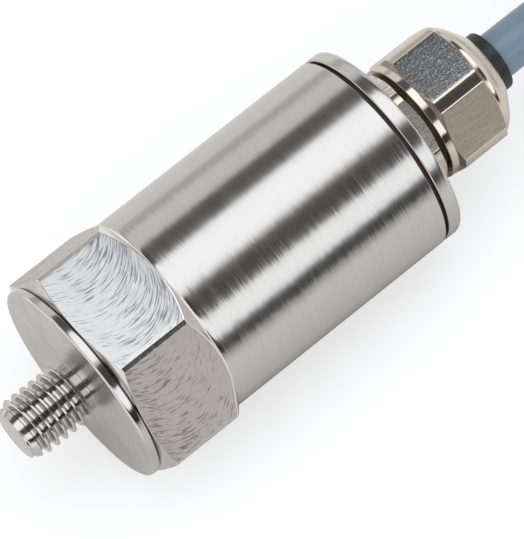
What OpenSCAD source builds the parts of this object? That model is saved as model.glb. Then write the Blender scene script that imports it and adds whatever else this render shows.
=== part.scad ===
// Stud-mounted vibration sensor with an integral cable.
// The sensor's axis is X: the mounting face is at x = 0, the stud points to -X and the cable leaves
// to +X. It lies on one flat of its hexagon, so the surface under it is at z = -hex_af / 2.

/* [Mounting stud] */
// Outside diameter of the stud's thread
stud_d = 8; // [6:0.5:12]
// Length of the stud from the mounting face to its tip
stud_len = 9.6; // [8:0.1:16]
// Diameter of the thread relief beside the mounting face
relief_d = 6.5; // [4.5:0.1:7.5]
// Length of the thread relief
relief_len = 2.05; // [2.05:0.05:3]
// Chamfer on the stud's tip
stud_chamfer = 0.8; // [0.3:0.1:1.2]

/* [Hexagon base] */
// Width across the milled flats
hex_af = 27; // [27:0.5:32]
// Diameter of the turned bar that the flats are cut into
bar_d = 30.8; // [30:0.1:34]
// Diameter of the round mounting face
boss_d = 26.9; // [20:0.1:27]
// Height of the round mounting face
boss_h = 1.1; // [0.9:0.1:2]
// Rounding on the edge of the mounting face
boss_edge_r = 0.7; // [0.2:0.1:0.8]
// Rounding on the back edge of the mounting face, beside the notch
boss_back_r = 0.3; // [0.1:0.05:0.35]
// Depth of the turned notch behind the mounting face
notch_depth = 0.35; // [0.1:0.05:1]
// Length of the front chamfer cone
front_cone_len = 0.9; // [0.5:0.1:2]
// Distance from the mounting face to the rear chamfer cone
hex_end = 11.35; // [9:0.05:16]
// Length of the rear chamfer cone
rear_cone_len = 1.75; // [1:0.05:3]

/* [Tube] */
// Outside diameter of the tube and the cap
body_d = 26.8; // [26:0.1:27]
// Distance from the mounting face to the end of the tube
body_end = 45.2; // [44.5:0.1:60]
// Bore of the tube
bore_d = 22; // [21.6:0.1:23]
// Distance from the mounting face to the floor of the bore
floor_x = 10; // [9:0.1:12]
// Chamfer on the tube's and the cap's edges at the joint
joint_chamfer = 0.15; // [0.05:0.05:0.3]

/* [Cap] */
// Height of the cap above the end of the tube
cap_h = 2.45; // [2:0.05:6]
// Width of the groove between the tube and the cap
groove_w = 0.45; // [0.2:0.05:0.8]
// Depth of the groove between the tube and the cap
groove_depth = 0.7; // [0.3:0.1:1]
// Rounding on the cap's outer edge
cap_edge_r = 0.7; // [0.2:0.1:1.2]
// Length of the cap's spigot inside the tube
spigot_len = 4.6; // [4:0.1:6]
// Thickness of the cap's plate
cap_plate = 4.3; // [3.5:0.1:5]
// Wall of the hollow spigot
spigot_wall = 2.4; // [2:0.1:3]
// Depth of the seal ring's groove in the spigot
ring_groove_depth = 1.2; // [0.8:0.1:1.5]
// Width of the seal ring's groove in the spigot
ring_groove_w = 1.5; // [1.3:0.1:2]

/* [Gland] */
// Diameter of the gland's thread in the cap
gland_thread_d = 12; // [11:0.1:13]
// Length of the gland's thread
gland_thread_len = 6.5; // [5:0.1:7]
// Width across the flats of the gland body's low hexagon
gland_af = 15; // [15:0.1:18]
// Turned diameter over the corners of the gland body's hexagon
gland_bar_d = 16.6; // [16:0.1:18]
// Turn of the gland body about the sensor's axis, in degrees
gland_turn = 30; // [-30:1:30]
// Height of the gland body's hexagon
gland_hex_h = 2.9; // [2:0.1:4]
// Length of the chamfer over the corners of the gland body's hexagon
gland_bevel_len = 0.5; // [0.2:0.1:0.8]
// Depth of that chamfer
gland_bevel_depth = 0.9; // [0.4:0.1:1]
// Gap between the gland body's hexagon and the nut
nut_gap = 0.45; // [0.2:0.05:1.5]
// Width across the nut's flats
nut_af = 16; // [15.5:0.1:18]
// Turned diameter over the nut's corners
nut_bar_d = 17.6; // [16.8:0.1:18]
// Turn of the nut about the sensor's axis, in degrees
nut_turn = -3; // [-30:1:30]
// Length of the nut's round rim
rim_len = 0.95; // [0.5:0.05:1.5]
// Diameter of the nut's round rim
rim_d = 15.9; // [15.2:0.1:16.4]
// Chamfer on the edge of the nut's rim
rim_chamfer = 0.2; // [0.1:0.05:0.4]
// Length of each cone between the nut's flats and its round ends
nut_cone_len = 0.45; // [0.4:0.05:1]
// Length of the nut's flats between the two cones
flat_len = 6.45; // [5:0.05:9]
// Length of the nut's turned collar, at the foot of its dome
collar_len = 0.45; // [0.2:0.05:1]
// Length of the nut's dome
dome_len = 2.7; // [2:0.1:5]
// Diameter of the nut's collar and of its dome's foot
dome_d = 15.8; // [14:0.1:16.4]
// Length of the shoulder at the dome's foot
shoulder_len = 0.9; // [0.4:0.1:1.5]
// Diameter at the end of that shoulder
shoulder_d = 14.4; // [12:0.1:15]
// Opening of the nut for the seal
opening_d = 8.1; // [7.6:0.1:9]
// Wall around the nut's opening
lip_wall = 0.65; // [0.3:0.05:1]
// Diameter of the thread between the gland body and the nut
nut_thread_d = 12.8; // [12:0.1:13.5]
// Wall of the gland body around the seal
pocket_wall = 1.2; // [0.8:0.1:1.5]
// Length of the gland body's neck inside the nut
neck_len = 6.7; // [6:0.1:7.8]
// Depth of the gland's seal pocket
pocket_len = 6; // [4:0.1:7]
// How far the seal stands out of the nut
seal_out = 1.65; // [0.4:0.05:2]
// Rounding on the seal's outer edge
seal_edge_r = 0.35; // [0.1:0.05:0.4]

/* [Cable] */
// Outside diameter of the cable
cable_d = 6.1; // [5.5:0.1:6.2]
// Length of the cable's jacket inside the sensor, from the gland's inner end
jacket_in = 2.5; // [1:0.1:3]
// Diameter of an insulated core
core_d = 1.3; // [0.8:0.1:1.5]
// Radius of the hank's inner column of turns, at the middle of the cable
hank_fold_r = 18.3; // [18:0.1:24]
// Length of the hank's straight runs
hank_run = 52; // [45:1:60]
// Columns of turns in the hank
hank_columns = 2; // [1:1:3]
// Layers of turns in the hank
hank_layers = 4; // [3:1:5]
// Width of each tie
tie_w = 3.6; // [2.5:0.1:5]
// Thickness of each tie
tie_t = 1; // [0.6:0.1:1.5]

/* [Sensing element] */
// Diameter of the piezo rings, the electrode and the insulating washer
ring_d = 10; // [8:0.1:10.5]
// Thickness of a piezo ring
ring_h = 2; // [1:0.1:2.5]
// Thickness of the insulating washer
washer_h = 0.8; // [0.5:0.1:1.2]
// Thickness of the electrode
electrode_h = 0.2; // [0.1:0.05:0.4]
// Diameter of the seismic mass
mass_d = 11; // [9:0.1:11.2]
// Height of the seismic mass
mass_h = 7; // [5:0.1:8]
// Diameter of the spring washer
spring_d = 7; // [6:0.1:9]
// Height of the spring washer
spring_h = 0.6; // [0.4:0.1:1]
// Diameter of the preload bolt's shank
bolt_d = 3; // [2:0.1:3.2]
// Depth of the preload bolt in the base
bolt_depth = 5; // [4:0.1:6]
// Diameter of the preload bolt's head
bolt_head_d = 5.5; // [5:0.1:6]
// Height of the preload bolt's head
bolt_head_h = 2; // [1.5:0.1:3]

/* [Electronics] */
// Radius of the circle that the standoffs stand on
standoff_circle_r = 8.3; // [8:0.1:8.4]
// Width across the flats of a standoff
standoff_af = 4; // [3.5:0.1:4.2]
// Height of a standoff
standoff_h = 17; // [16:0.1:18]
// Diameter of a standoff's threaded stem
stem_d = 2.4; // [1.8:0.1:2.6]
// Length of a standoff's threaded stem
stem_len = 4; // [3:0.1:5]
// Diameter of the circuit board
board_d = 21; // [20.5:0.1:21.4]
// Thickness of the circuit board
board_t = 1.6; // [0.8:0.1:2]
// Diameter of a board screw's shank
screw_d = 2; // [1.6:0.1:2.2]
// Length of a board screw under its head
screw_len = 5; // [4:0.1:6]
// Diameter of a board screw's head
screw_head_d = 3.8; // [3:0.1:4]
// Height of a board screw's head
screw_head_h = 1.2; // [0.8:0.1:1.6]
// Width of the terminal block
block_w = 10; // [9:0.1:11]
// Depth of the terminal block
block_d = 5; // [4:0.1:5.5]
// Height of the terminal block
block_h = 5.6; // [5:0.1:6.5]
// Width of the amplifier chip
chip_w = 4; // [3:0.1:4.4]
// Thickness of the amplifier chip
chip_t = 1.5; // [0.8:0.1:2]
// Width of the regulator
regulator_w = 3; // [2:0.1:3.6]
// Thickness of the regulator
regulator_t = 1; // [0.6:0.1:2]
// Length of a capacitor
capacitor_len = 3; // [2:0.1:3.4]
// Width of a capacitor
capacitor_w = 1.6; // [1:0.1:2]
// Thickness of a capacitor
capacitor_t = 1.1; // [0.6:0.1:1.6]
// Diameter of the wire from the electrode to the board
signal_d = 0.6; // [0.4:0.1:0.7]

/* [Hidden] */

$fn = 96;
// A cut runs this far past the face that it opens
cut = 1;
// Fits: pieces that slide together, and pieces that turn on a thread
slide = 0.05;
thread_slide = 0.05;

floor_z = -hex_af / 2;
body_r = body_d / 2;
bore_r = bore_d / 2;
bar_r = bar_d / 2;
hex_start = boss_h + front_cone_len;
body_start = hex_end + rear_cone_len;

cap_end = body_end + cap_h;
spigot_start = body_end - spigot_len;
spigot_r = bore_r - slide;
plate_start = cap_end - cap_plate;
ring_groove_x = body_end - (spigot_len - ring_groove_w) / 2 - ring_groove_w;
ring_groove_r = spigot_r - ring_groove_depth;

gland_start = cap_end - gland_thread_len;
gland_hex_end = cap_end + gland_hex_h;
neck_end = gland_hex_end + neck_len;
pocket_r = nut_thread_d / 2 - pocket_wall;
pocket_start = neck_end - pocket_len;
gland_ring_r = 0.6;
gland_ring_groove = 0.9;
gland_ring_place = gland_thread_d / 2 + slide + gland_ring_r;

nut_start = gland_hex_end + nut_gap;
flat_start = nut_start + rim_len + nut_cone_len;
flat_end = flat_start + flat_len;
collar_start = flat_end + nut_cone_len;
dome_start = collar_start + collar_len;
nut_end = dome_start + dome_len;
nut_bore_r = nut_thread_d / 2 + thread_slide;
opening_r = opening_d / 2;
lip_len = 1;
neck_room = 0.4;
nut_bore_end = neck_end + neck_room;
seal_r = opening_r - slide;
exit_x = nut_end + seal_out;

cable_r = cable_d / 2;
cable_bore_r = cable_r + slide;
cable_in_x = gland_start - jacket_in;

washer_top = floor_x + washer_h;
lower_top = washer_top + ring_h;
electrode_top = lower_top + electrode_h;
upper_top = electrode_top + ring_h;
mass_top = upper_top + mass_h;
spring_top = mass_top + spring_h;
bolt_hole_r = bolt_d / 2 + slide;
bolt_socket_af = bolt_d * 0.83;
tip_room = 0.4;

board_x = floor_x + standoff_h;
board_top = board_x + board_t;
standoff_angles = [30, 150, 270];
signal_angle = 90;
signal_place = mass_d / 2 + signal_d;
solder_h = 0.4;
block_top = board_top + block_h;
block_z = -2;
core_gap = 2.8;
core_seat = 3;
chip_y = 2.8;
chip_z = 4.3;
capacitor_y = 7.2;
capacitor_z = 0.5;
terminal_hole_r = core_d / 2 + slide;
clamp_step = 0.1;
clamp_hole_r = terminal_hole_r - clamp_step;

// The hank lies beside the lead's end, on its two ties
hank_gap = 53.4;
hank_y = 12;
hank_x0 = exit_x + hank_gap;
hank_x1 = hank_x0 + hank_run;
hank_bottom = floor_z + tie_t;
hank_top = hank_bottom + hank_layers * cable_d;
hank_inner_r = hank_fold_r - cable_r;
hank_outer_r = hank_inner_r + hank_columns * cable_d;
tie_lock = 2.4;
tie_top = 2;

// The cable's end lies along the top of the hank, on the side that the lead comes in
sleeve_wall = 0.35;
sleeve_len = 9;
sleeve_over = 1.5;
sleeve_r = cable_r + slide + sleeve_wall;
end_len = 40;
end_x = hank_x0 + end_len;
end_y = hank_y - (hank_inner_r + hank_outer_r) / 2;
end_z = hank_top + sleeve_r;
lead_pitch = 1.7;
lead_straight = 4;
lead_drop = 14;
lead_len = 21;
ferrule_len = 6;
ferrule_wall = 0.1;
ferrule_r = core_d / 2 + ferrule_wall;
lead_low_z = hank_top + ferrule_r;

// The lead's route, from the gland to the hank, as steps from the gland's end
LEAD_STEPS = [[0, 0, 0], [2, 0, 0], [5, 0, 0], [8, 0, -0.2], [12, -0.1, -1], [16, -0.5, -2.3],
    [20, -1.2, -4.1], [24, -2.3, -6], [27.6, -3.6, -7.5]];
lead_sides = 12;
core_sides = 8;

// Everything that is turned: a profile of radius against distance along the axis
module turned() {
    rotate([0, 90, 0])
        rotate_extrude()
            children();
}

// A straight cylinder along the axis
module rod(x0, x1, r) {
    translate([x0, 0, 0])
        rotate([0, 90, 0])
            cylinder(h = x1 - x0, r = r);
}

// A hexagonal bar along the axis, with flats up and down
module hex_rod(x0, x1, af) {
    translate([x0, 0, 0])
        rotate([0, 90, 0])
            rotate(30)
                cylinder(h = x1 - x0, r = af / 2 / cos(30), $fn = 6);
}

// Children set at an angle about the axis, at a radius from it
module around(angle, radius) {
    rotate([angle, 0, 0])
        translate([0, radius, 0])
            children();
}

// A ring with a square section
module washer(x0, x1, r, hole_r) {
    turned()
        translate([hole_r, x0])
            square([r - hole_r, x1 - x0]);
}

function unit(v) = v / norm(v);

// Direction of a route at one of its points
function heading(route, i) =
    unit(route[min(i + 1, len(route) - 1)] - route[max(i - 1, 0)]);

// One ring of a tube, square to its route
function tube_ring(route, i, r, sides) =
    let (
        along = heading(route, i),
        across = unit(cross([0, 0, 1], along)),
        up = cross(along, across)
    )
    [for (k = [0 : sides - 1])
        route[i] + r * (cos(k * 360 / sides) * across + sin(k * 360 / sides) * up)];

// A tube swept along a route
module tube(route, r, sides) {
    rings = len(route);
    points = [for (i = [0 : rings - 1]) each tube_ring(route, i, r, sides)];
    start = [for (k = [0 : sides - 1]) k];
    finish = [for (k = [sides - 1 : -1 : 0]) (rings - 1) * sides + k];
    walls = [for (i = [0 : rings - 2], k = [0 : sides - 1])
        let (next = (k + 1) % sides)
        [i * sides + k, (i + 1) * sides + k, (i + 1) * sides + next, i * sides + next]];
    polyhedron(points = points, faces = concat([start], walls, [finish]), convexity = 4);
}

// Outline of the hank, seen from above
module hank_outline(r) {
    for (x = [hank_x0, hank_x1])
        translate([x, hank_y])
            circle(r = r);
    translate([hank_x0, hank_y - r])
        square([hank_run, 2 * r]);
}

// The stud, the hexagon base and the tube, turned and milled from one bar
module housing() {
    color([0.78, 0.77, 0.75])
        difference() {
            union() {
                stud();
                boss();
                intersection() {
                    turned()
                        polygon([[0, boss_h], [boss_d / 2 - notch_depth, boss_h], [bar_r, hex_start],
                            [bar_r, hex_end], [body_r, body_start], [0, body_start]]);
                    hex_rod(0, body_start + cut, hex_af);
                }
                turned()
                    polygon([[0, body_start], [body_r, body_start], [body_r, body_end - joint_chamfer],
                        [body_r - joint_chamfer, body_end], [0, body_end]]);
            }
            rod(floor_x, body_end + cut, bore_r);
            rod(floor_x - bolt_depth - tip_room, floor_x + cut, bolt_hole_r);
            for (a = standoff_angles)
                around(a, standoff_circle_r)
                    rod(floor_x - stem_len - tip_room, floor_x + cut, stem_d / 2 + slide);
        }
}

// The stud: a plain stretch at the thread's outside diameter, with its relief and its chamfered tip
module stud() {
    turned()
        polygon([[0, -stud_len], [stud_d / 2 - stud_chamfer, -stud_len],
            [stud_d / 2, stud_chamfer - stud_len], [stud_d / 2, -relief_len - (stud_d - relief_d) / 2],
            [relief_d / 2, -relief_len], [relief_d / 2, 0], [0, 0]]);
}

// The round mounting face, with a rounded rim
module boss() {
    turned() {
        square([boss_d / 2 - boss_edge_r, boss_h]);
        translate([0, boss_edge_r])
            square([boss_d / 2, boss_h - boss_edge_r - boss_back_r]);
        translate([0, boss_h - boss_back_r])
            square([boss_d / 2 - boss_back_r, boss_back_r]);
        translate([boss_d / 2 - boss_edge_r, boss_edge_r])
            circle(r = boss_edge_r);
        translate([boss_d / 2 - boss_back_r, boss_h - boss_back_r])
            circle(r = boss_back_r);
    }
}

module insulating_washer() {
    color([0.93, 0.92, 0.88])
        washer(floor_x, washer_top, ring_d / 2, bolt_hole_r);
}

module piezo_ring_lower() {
    color([0.75, 0.68, 0.5])
        washer(washer_top, lower_top, ring_d / 2, bolt_hole_r);
}

// The contact plate between the piezo rings, with a tab for its wire
module electrode() {
    color([0.83, 0.62, 0.3])
        difference() {
            union() {
                rod(lower_top, electrode_top, ring_d / 2);
                around(signal_angle, 0)
                    translate([lower_top, 0, -signal_d])
                        cube([electrode_h, signal_place + signal_d, 2 * signal_d]);
            }
            rod(lower_top - cut, electrode_top + cut, bolt_hole_r);
        }
}

module piezo_ring_upper() {
    color([0.75, 0.68, 0.5])
        washer(electrode_top, upper_top, ring_d / 2, bolt_hole_r);
}

module seismic_mass() {
    color([0.45, 0.46, 0.48])
        washer(upper_top, mass_top, mass_d / 2, bolt_hole_r);
}

// A coned spring washer
module spring_washer() {
    color([0.6, 0.6, 0.58])
        turned()
            polygon([[bolt_hole_r, mass_top + spring_h / 2], [spring_d / 2, mass_top],
                [spring_d / 2, mass_top + spring_h / 2], [bolt_hole_r, spring_top]]);
}

// The bolt that clamps the element to the base, with a hexagon socket
module preload_bolt() {
    color([0.3, 0.3, 0.32])
        difference() {
            union() {
                rod(floor_x - bolt_depth, spring_top + slide, bolt_d / 2);
                rod(spring_top, spring_top + bolt_head_h, bolt_head_d / 2);
            }
            hex_rod(spring_top + bolt_head_h / 2, spring_top + bolt_head_h + cut, bolt_socket_af);
        }
}

// The wire from the electrode's tab through the board
module signal_wire() {
    color([0.85, 0.15, 0.12])
        around(signal_angle, signal_place)
            rod(electrode_top, board_top + solder_h, signal_d / 2);
}

module board_standoffs() {
    color([0.8, 0.68, 0.35])
        for (a = standoff_angles)
            around(a, standoff_circle_r)
                difference() {
                    union() {
                        hex_rod(floor_x, board_x, standoff_af);
                        rod(floor_x - stem_len, floor_x + slide, stem_d / 2);
                    }
                    rod(board_top - screw_len - tip_room, board_x + cut, screw_d / 2 + slide);
                }
}

module circuit_board() {
    color([0.1, 0.38, 0.2])
        difference() {
            rod(board_x, board_top, board_d / 2);
            for (a = standoff_angles)
                around(a, standoff_circle_r)
                    rod(board_x - cut, board_top + cut, screw_d / 2 + slide);
            around(signal_angle, signal_place)
                rod(board_x - cut, board_top + cut, signal_d / 2 + slide);
        }
}

// A part soldered to the board's upper side
module chip(y, z, size) {
    translate([board_top, y - size.y / 2, z - size.z / 2])
        cube(size);
}

// The amplifier, its regulator and a capacitor on each side
module board_components() {
    color([0.14, 0.14, 0.15]) {
        chip(-chip_y, chip_z, [chip_t, chip_w, chip_w]);
        chip(chip_y, chip_z, [regulator_t, regulator_w, regulator_w]);
        for (y = [-capacitor_y, capacitor_y])
            chip(y, capacitor_z, [capacitor_t, capacitor_w, capacitor_len]);
    }
}

module board_screws() {
    color([0.75, 0.75, 0.73])
        for (a = standoff_angles)
            around(a, standoff_circle_r) {
                rod(board_top - screw_len, board_top + slide, screw_d / 2);
                difference() {
                    rod(board_top, board_top + screw_head_h, screw_head_d / 2);
                    translate([board_top + screw_head_h / 2, -screw_head_d, -screw_d / 8])
                        cube([screw_head_h, 2 * screw_head_d, screw_d / 4]);
                }
            }
}

// The block that clamps the cable's cores, with a hole above and a screw on the side for each
module terminal_block() {
    color([0.15, 0.35, 0.2])
        difference() {
            translate([board_top, -block_w / 2, block_z - block_d / 2])
                cube([block_h, block_w, block_d]);
            for (k = [-1 : 1]) {
                translate([0, k * core_gap, block_z])
                    rod(block_top - core_seat, block_top + cut, terminal_hole_r);
                translate([block_top - core_seat / 2, k * core_gap, block_z - block_d / 2 - cut])
                    cylinder(h = cut + block_d / 2, r = clamp_hole_r);
            }
        }
}

module terminal_screws() {
    color([0.78, 0.77, 0.74])
        for (k = [-1 : 1])
            translate([block_top - core_seat / 2, k * core_gap, block_z - block_d / 2])
                cylinder(h = block_d / 2 - terminal_hole_r, r = clamp_hole_r - slide);
}

// The screwed cap, with a groove at the joint, a hollow spigot and a threaded hole for the gland
module cap() {
    color([0.78, 0.77, 0.75])
        difference() {
            turned()
                difference() {
                    cap_profile();
                    translate([ring_groove_r, ring_groove_x])
                        square([ring_groove_depth + cut, ring_groove_w]);
                }
            rod(spigot_start - cut, plate_start, spigot_r - spigot_wall);
            rod(plate_start - cut, cap_end + cut, gland_thread_d / 2 + thread_slide);
        }
}

module cap_profile() {
    edge_x = body_end + groove_w;
    square_end = cap_end - cap_edge_r;
    translate([0, spigot_start])
        square([spigot_r, spigot_len]);
    translate([0, body_end])
        square([body_r - groove_depth, groove_w]);
    polygon([[0, edge_x], [body_r - joint_chamfer, edge_x], [body_r, edge_x + joint_chamfer],
        [body_r, square_end], [0, square_end]]);
    translate([0, edge_x])
        square([body_r - cap_edge_r, cap_end - edge_x]);
    translate([body_r - cap_edge_r, square_end])
        circle(r = cap_edge_r);
}

// The rubber ring that seals the cap in the tube's bore
module cap_seal_ring() {
    r = (bore_r - ring_groove_r) / 2 - slide;
    color([0.1, 0.1, 0.11])
        turned()
            translate([ring_groove_r + slide + r, ring_groove_x + ring_groove_w / 2])
                circle(r = r);
}

// The gland's body: a thread in the cap, a low hexagon and a neck that carries the nut
module gland_body() {
    corner_r = gland_bar_d / 2;
    color([0.74, 0.68, 0.6])
        difference() {
            union() {
                rod(gland_start, gland_hex_end, gland_thread_d / 2);
                intersection() {
                    rotate([gland_turn, 0, 0])
                        hex_rod(cap_end, gland_hex_end, gland_af);
                    turned()
                        polygon([[0, cap_end], [corner_r, cap_end],
                            [corner_r, gland_hex_end - gland_bevel_len],
                            [corner_r - gland_bevel_depth, gland_hex_end], [0, gland_hex_end]]);
                }
                rod(gland_hex_end - cut, neck_end, nut_thread_d / 2);
            }
            rod(gland_start - cut, neck_end + cut, cable_bore_r);
            rod(pocket_start, neck_end + cut, pocket_r);
            turned()
                translate([gland_thread_d / 2, cap_end - cut])
                    square([2 * gland_ring_r + 2 * slide, gland_ring_groove + cut]);
        }
}

// The rubber ring between the gland body and the cap
module gland_seal_ring() {
    color([0.1, 0.1, 0.11])
        washer(cap_end, cap_end + gland_ring_groove - slide, gland_ring_place + gland_ring_r - slide,
            gland_ring_place - gland_ring_r);
}

// The rubber sleeve that grips the cable and stands out of the nut
module gland_seal() {
    color([0.12, 0.12, 0.13])
        turned()
            difference() {
                union() {
                    polygon([[0, pocket_start], [pocket_r - slide, pocket_start],
                        [pocket_r - slide, nut_bore_end], [seal_r, nut_end - lip_len],
                        [seal_r, exit_x - seal_edge_r], [0, exit_x - seal_edge_r]]);
                    translate([0, nut_end])
                        square([seal_r - seal_edge_r, seal_out]);
                    translate([seal_r - seal_edge_r, exit_x - seal_edge_r])
                        circle(r = seal_edge_r);
                }
                translate([0, pocket_start - cut])
                    square([cable_bore_r, exit_x - pocket_start + 2 * cut]);
            }
}

// The dome nut: rim, flats between turned corners, a collar, then a dome down to its opening
module gland_nut() {
    nut_r = nut_bar_d / 2;
    color([0.74, 0.68, 0.6])
        rotate([nut_turn, 0, 0])
            difference() {
                intersection() {
                    turned()
                        polygon([[0, nut_start], [rim_d / 2 - rim_chamfer, nut_start],
                            [rim_d / 2, nut_start + rim_chamfer], [rim_d / 2, nut_start + rim_len],
                            [nut_r, flat_start], [nut_r, flat_end], [dome_d / 2, collar_start],
                            [dome_d / 2, dome_start], [shoulder_d / 2, dome_start + shoulder_len],
                            [opening_r + lip_wall, nut_end], [0, nut_end]]);
                    hex_rod(nut_start, nut_end, nut_af);
                }
                turned()
                    polygon([[0, nut_start - cut], [nut_bore_r, nut_start - cut],
                        [nut_bore_r, nut_bore_end], [pocket_r, nut_bore_end],
                        [opening_r, nut_end - lip_len], [opening_r, nut_end + cut], [0, nut_end + cut]]);
            }
}

// The cable inside the sensor and the gland
module cable_tail() {
    color([0.47, 0.57, 0.65])
        rod(cable_in_x, exit_x, cable_r);
}

// One core inside the sensor, from the cable's end to its seat in the terminal block
module inner_core(k) {
    bend = 0.8;
    near = [cable_in_x - bend, k * lead_pitch, 0];
    far = [block_top + bend, k * core_gap, block_z];
    tube([[cable_in_x, k * lead_pitch, 0], near, (3 * near + far) / 4, (near + 3 * far) / 4, far,
        [block_top - core_seat, k * core_gap, block_z]], core_d / 2, core_sides);
}

module core_brown() {
    color([0.36, 0.22, 0.13])
        inner_core(-1);
}

module core_white() {
    color([0.93, 0.93, 0.9])
        inner_core(1);
}

module shield_drain() {
    color([0.72, 0.72, 0.7])
        inner_core(0);
}

// The free cable from the gland to the hank
module cable_lead() {
    color([0.47, 0.57, 0.65])
        tube([for (p = LEAD_STEPS) [exit_x + p.x, p.y, p.z]], cable_r, lead_sides);
}

// The rest of the cable, folded into a hank
module cable_hank() {
    color([0.47, 0.57, 0.65])
        translate([0, 0, hank_bottom])
            linear_extrude(height = hank_top - hank_bottom)
                difference() {
                    hank_outline(hank_outer_r);
                    hank_outline(hank_inner_r);
                }
}

// Section of the space inside a tie: the turns, and room above them for what else it holds
module tie_section(spare, room) {
    wide = hank_outer_r - hank_inner_r;
    tall = hank_top - hank_bottom;
    polygon([[-spare, -spare], [wide + spare, -spare], [wide + spare, tall + spare / 2],
        [wide / 2 + tie_top + spare / 2, tall + room + spare],
        [wide / 2 - tie_top - spare / 2, tall + room + spare], [-spare, tall + spare / 2]]);
}

// A tie around one side of the hank, with its lock inside the hank's opening
module hank_tie(room) {
    lock_w = tie_w + 2 * tie_t;
    translate([0, hank_inner_r, 0])
        rotate([90, 0, 90])
            linear_extrude(height = tie_w)
                difference() {
                    tie_section(tie_t, room);
                    tie_section(0, room);
                }
    translate([-tie_t, hank_inner_r - tie_t - tie_lock, (hank_top - hank_bottom - lock_w) / 2])
        cube([lock_w, tie_lock, lock_w]);
}

// One tie on each side: the one on the lead's side also holds the cable's end
module hank_ties() {
    color([0.12, 0.12, 0.13])
        translate([(hank_x0 + hank_x1 - tie_w) / 2, hank_y, hank_bottom]) {
            hank_tie(tie_t);
            mirror([0, 1, 0])
                hank_tie(end_z + cable_r - hank_top);
        }
}

// The cable's end, laid along the top of the hank past its tie
module cable_end() {
    color([0.47, 0.57, 0.65])
        translate([0, end_y, end_z])
            rod(hank_x0, end_x, cable_r);
}

// Shrink sleeve over the cable's end
module end_sleeve() {
    color([0.12, 0.12, 0.13])
        translate([0, end_y, end_z])
            washer(end_x + sleeve_over - sleeve_len, end_x + sleeve_over, sleeve_r, cable_r + slide);
}

// One flying lead, from the cable's end down onto the hank
module flying_lead(k) {
    near = [end_x + lead_straight, end_y + k * lead_pitch, end_z];
    far = [end_x + lead_drop, end_y + 2 * k * lead_pitch, lead_low_z];
    tube([[end_x, end_y + k * lead_pitch, end_z], near, (3 * near + far) / 4, (near + 3 * far) / 4, far,
        [end_x + lead_len, end_y + 2 * k * lead_pitch, lead_low_z]], core_d / 2, core_sides);
}

module lead_brown() {
    color([0.36, 0.22, 0.13])
        flying_lead(-1);
}

module lead_white() {
    color([0.93, 0.93, 0.9])
        flying_lead(1);
}

module lead_shield() {
    color([0.72, 0.72, 0.7])
        flying_lead(0);
}

// The metal sleeves crimped on the leads' ends
module lead_ferrules() {
    color([0.8, 0.8, 0.79])
        for (k = [-1 : 1])
            translate([0, end_y + 2 * k * lead_pitch, lead_low_z])
                rod(end_x + lead_len, end_x + lead_len + ferrule_len, ferrule_r);
}

housing();
insulating_washer();
piezo_ring_lower();
electrode();
piezo_ring_upper();
seismic_mass();
spring_washer();
preload_bolt();
signal_wire();
board_standoffs();
circuit_board();
board_components();
board_screws();
terminal_block();
terminal_screws();
cap();
cap_seal_ring();
gland_body();
gland_seal_ring();
gland_seal();
gland_nut();
cable_tail();
core_brown();
core_white();
shield_drain();
cable_lead();
cable_hank();
hank_ties();
cable_end();
end_sleeve();
lead_brown();
lead_white();
lead_shield();
lead_ferrules();
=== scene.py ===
# Looks of a stud-mounted vibration sensor with an integral cable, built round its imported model.
# The sensor's axis is X, its mounting face is at x = 0 and +Z is up. Sizes are in millimetres, and
# meshes are scaled to metres when they are made. Angles about the axis are in degrees from +Y to +Z.
import math

import bmesh
import bpy
from mathutils import Matrix, Vector


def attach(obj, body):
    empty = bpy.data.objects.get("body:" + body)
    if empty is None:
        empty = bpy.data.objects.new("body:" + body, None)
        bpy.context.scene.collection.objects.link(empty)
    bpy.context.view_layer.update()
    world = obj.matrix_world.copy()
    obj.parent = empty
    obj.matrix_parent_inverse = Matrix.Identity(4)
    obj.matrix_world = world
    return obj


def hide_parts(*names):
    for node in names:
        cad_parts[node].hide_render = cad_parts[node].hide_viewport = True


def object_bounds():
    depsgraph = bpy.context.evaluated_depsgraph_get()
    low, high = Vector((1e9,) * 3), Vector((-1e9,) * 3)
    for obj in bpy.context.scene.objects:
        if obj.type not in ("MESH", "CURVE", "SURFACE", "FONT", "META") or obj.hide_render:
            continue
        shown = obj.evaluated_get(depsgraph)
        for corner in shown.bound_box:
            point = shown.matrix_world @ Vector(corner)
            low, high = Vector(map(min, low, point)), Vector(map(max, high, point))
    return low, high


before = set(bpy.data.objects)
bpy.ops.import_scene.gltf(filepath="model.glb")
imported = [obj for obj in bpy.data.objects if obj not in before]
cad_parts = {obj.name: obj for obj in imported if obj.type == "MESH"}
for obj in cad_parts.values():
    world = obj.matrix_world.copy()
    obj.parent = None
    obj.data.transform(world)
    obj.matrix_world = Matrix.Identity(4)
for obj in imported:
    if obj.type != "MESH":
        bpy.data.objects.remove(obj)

CAD_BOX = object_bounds()
MM = 0.001

# The camera: image size and focal length in pixels, the origin's place in the image, and three angles
IMAGE_W = 524
IMAGE_H = 539
FOCAL_PX = 4761
ORIGIN_PX = (78.8, 385.6)
CAMERA_DISTANCE = 554.2
AXIS_TILT = math.radians(13.75)
SIDE_TILT = math.radians(22.9)
ROLL = math.radians(38.39)
SENSOR_H = 36
CLIP = (0.01, 20)

# The stud and its thread
STUD_R = 4.0
STUD_LEN = 9.6
TIP_CHAMFER = 0.8
TIP_SLOPE = 0.5
RELIEF_R = 3.233
NECK_LEN = 0.8
THREAD_PITCH = 1.25
THREAD_DEPTH = 0.767
THREAD_ROW = 0.04
TIP_EDGE = 0.1
FOOT_ROUND = 0.12

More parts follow.
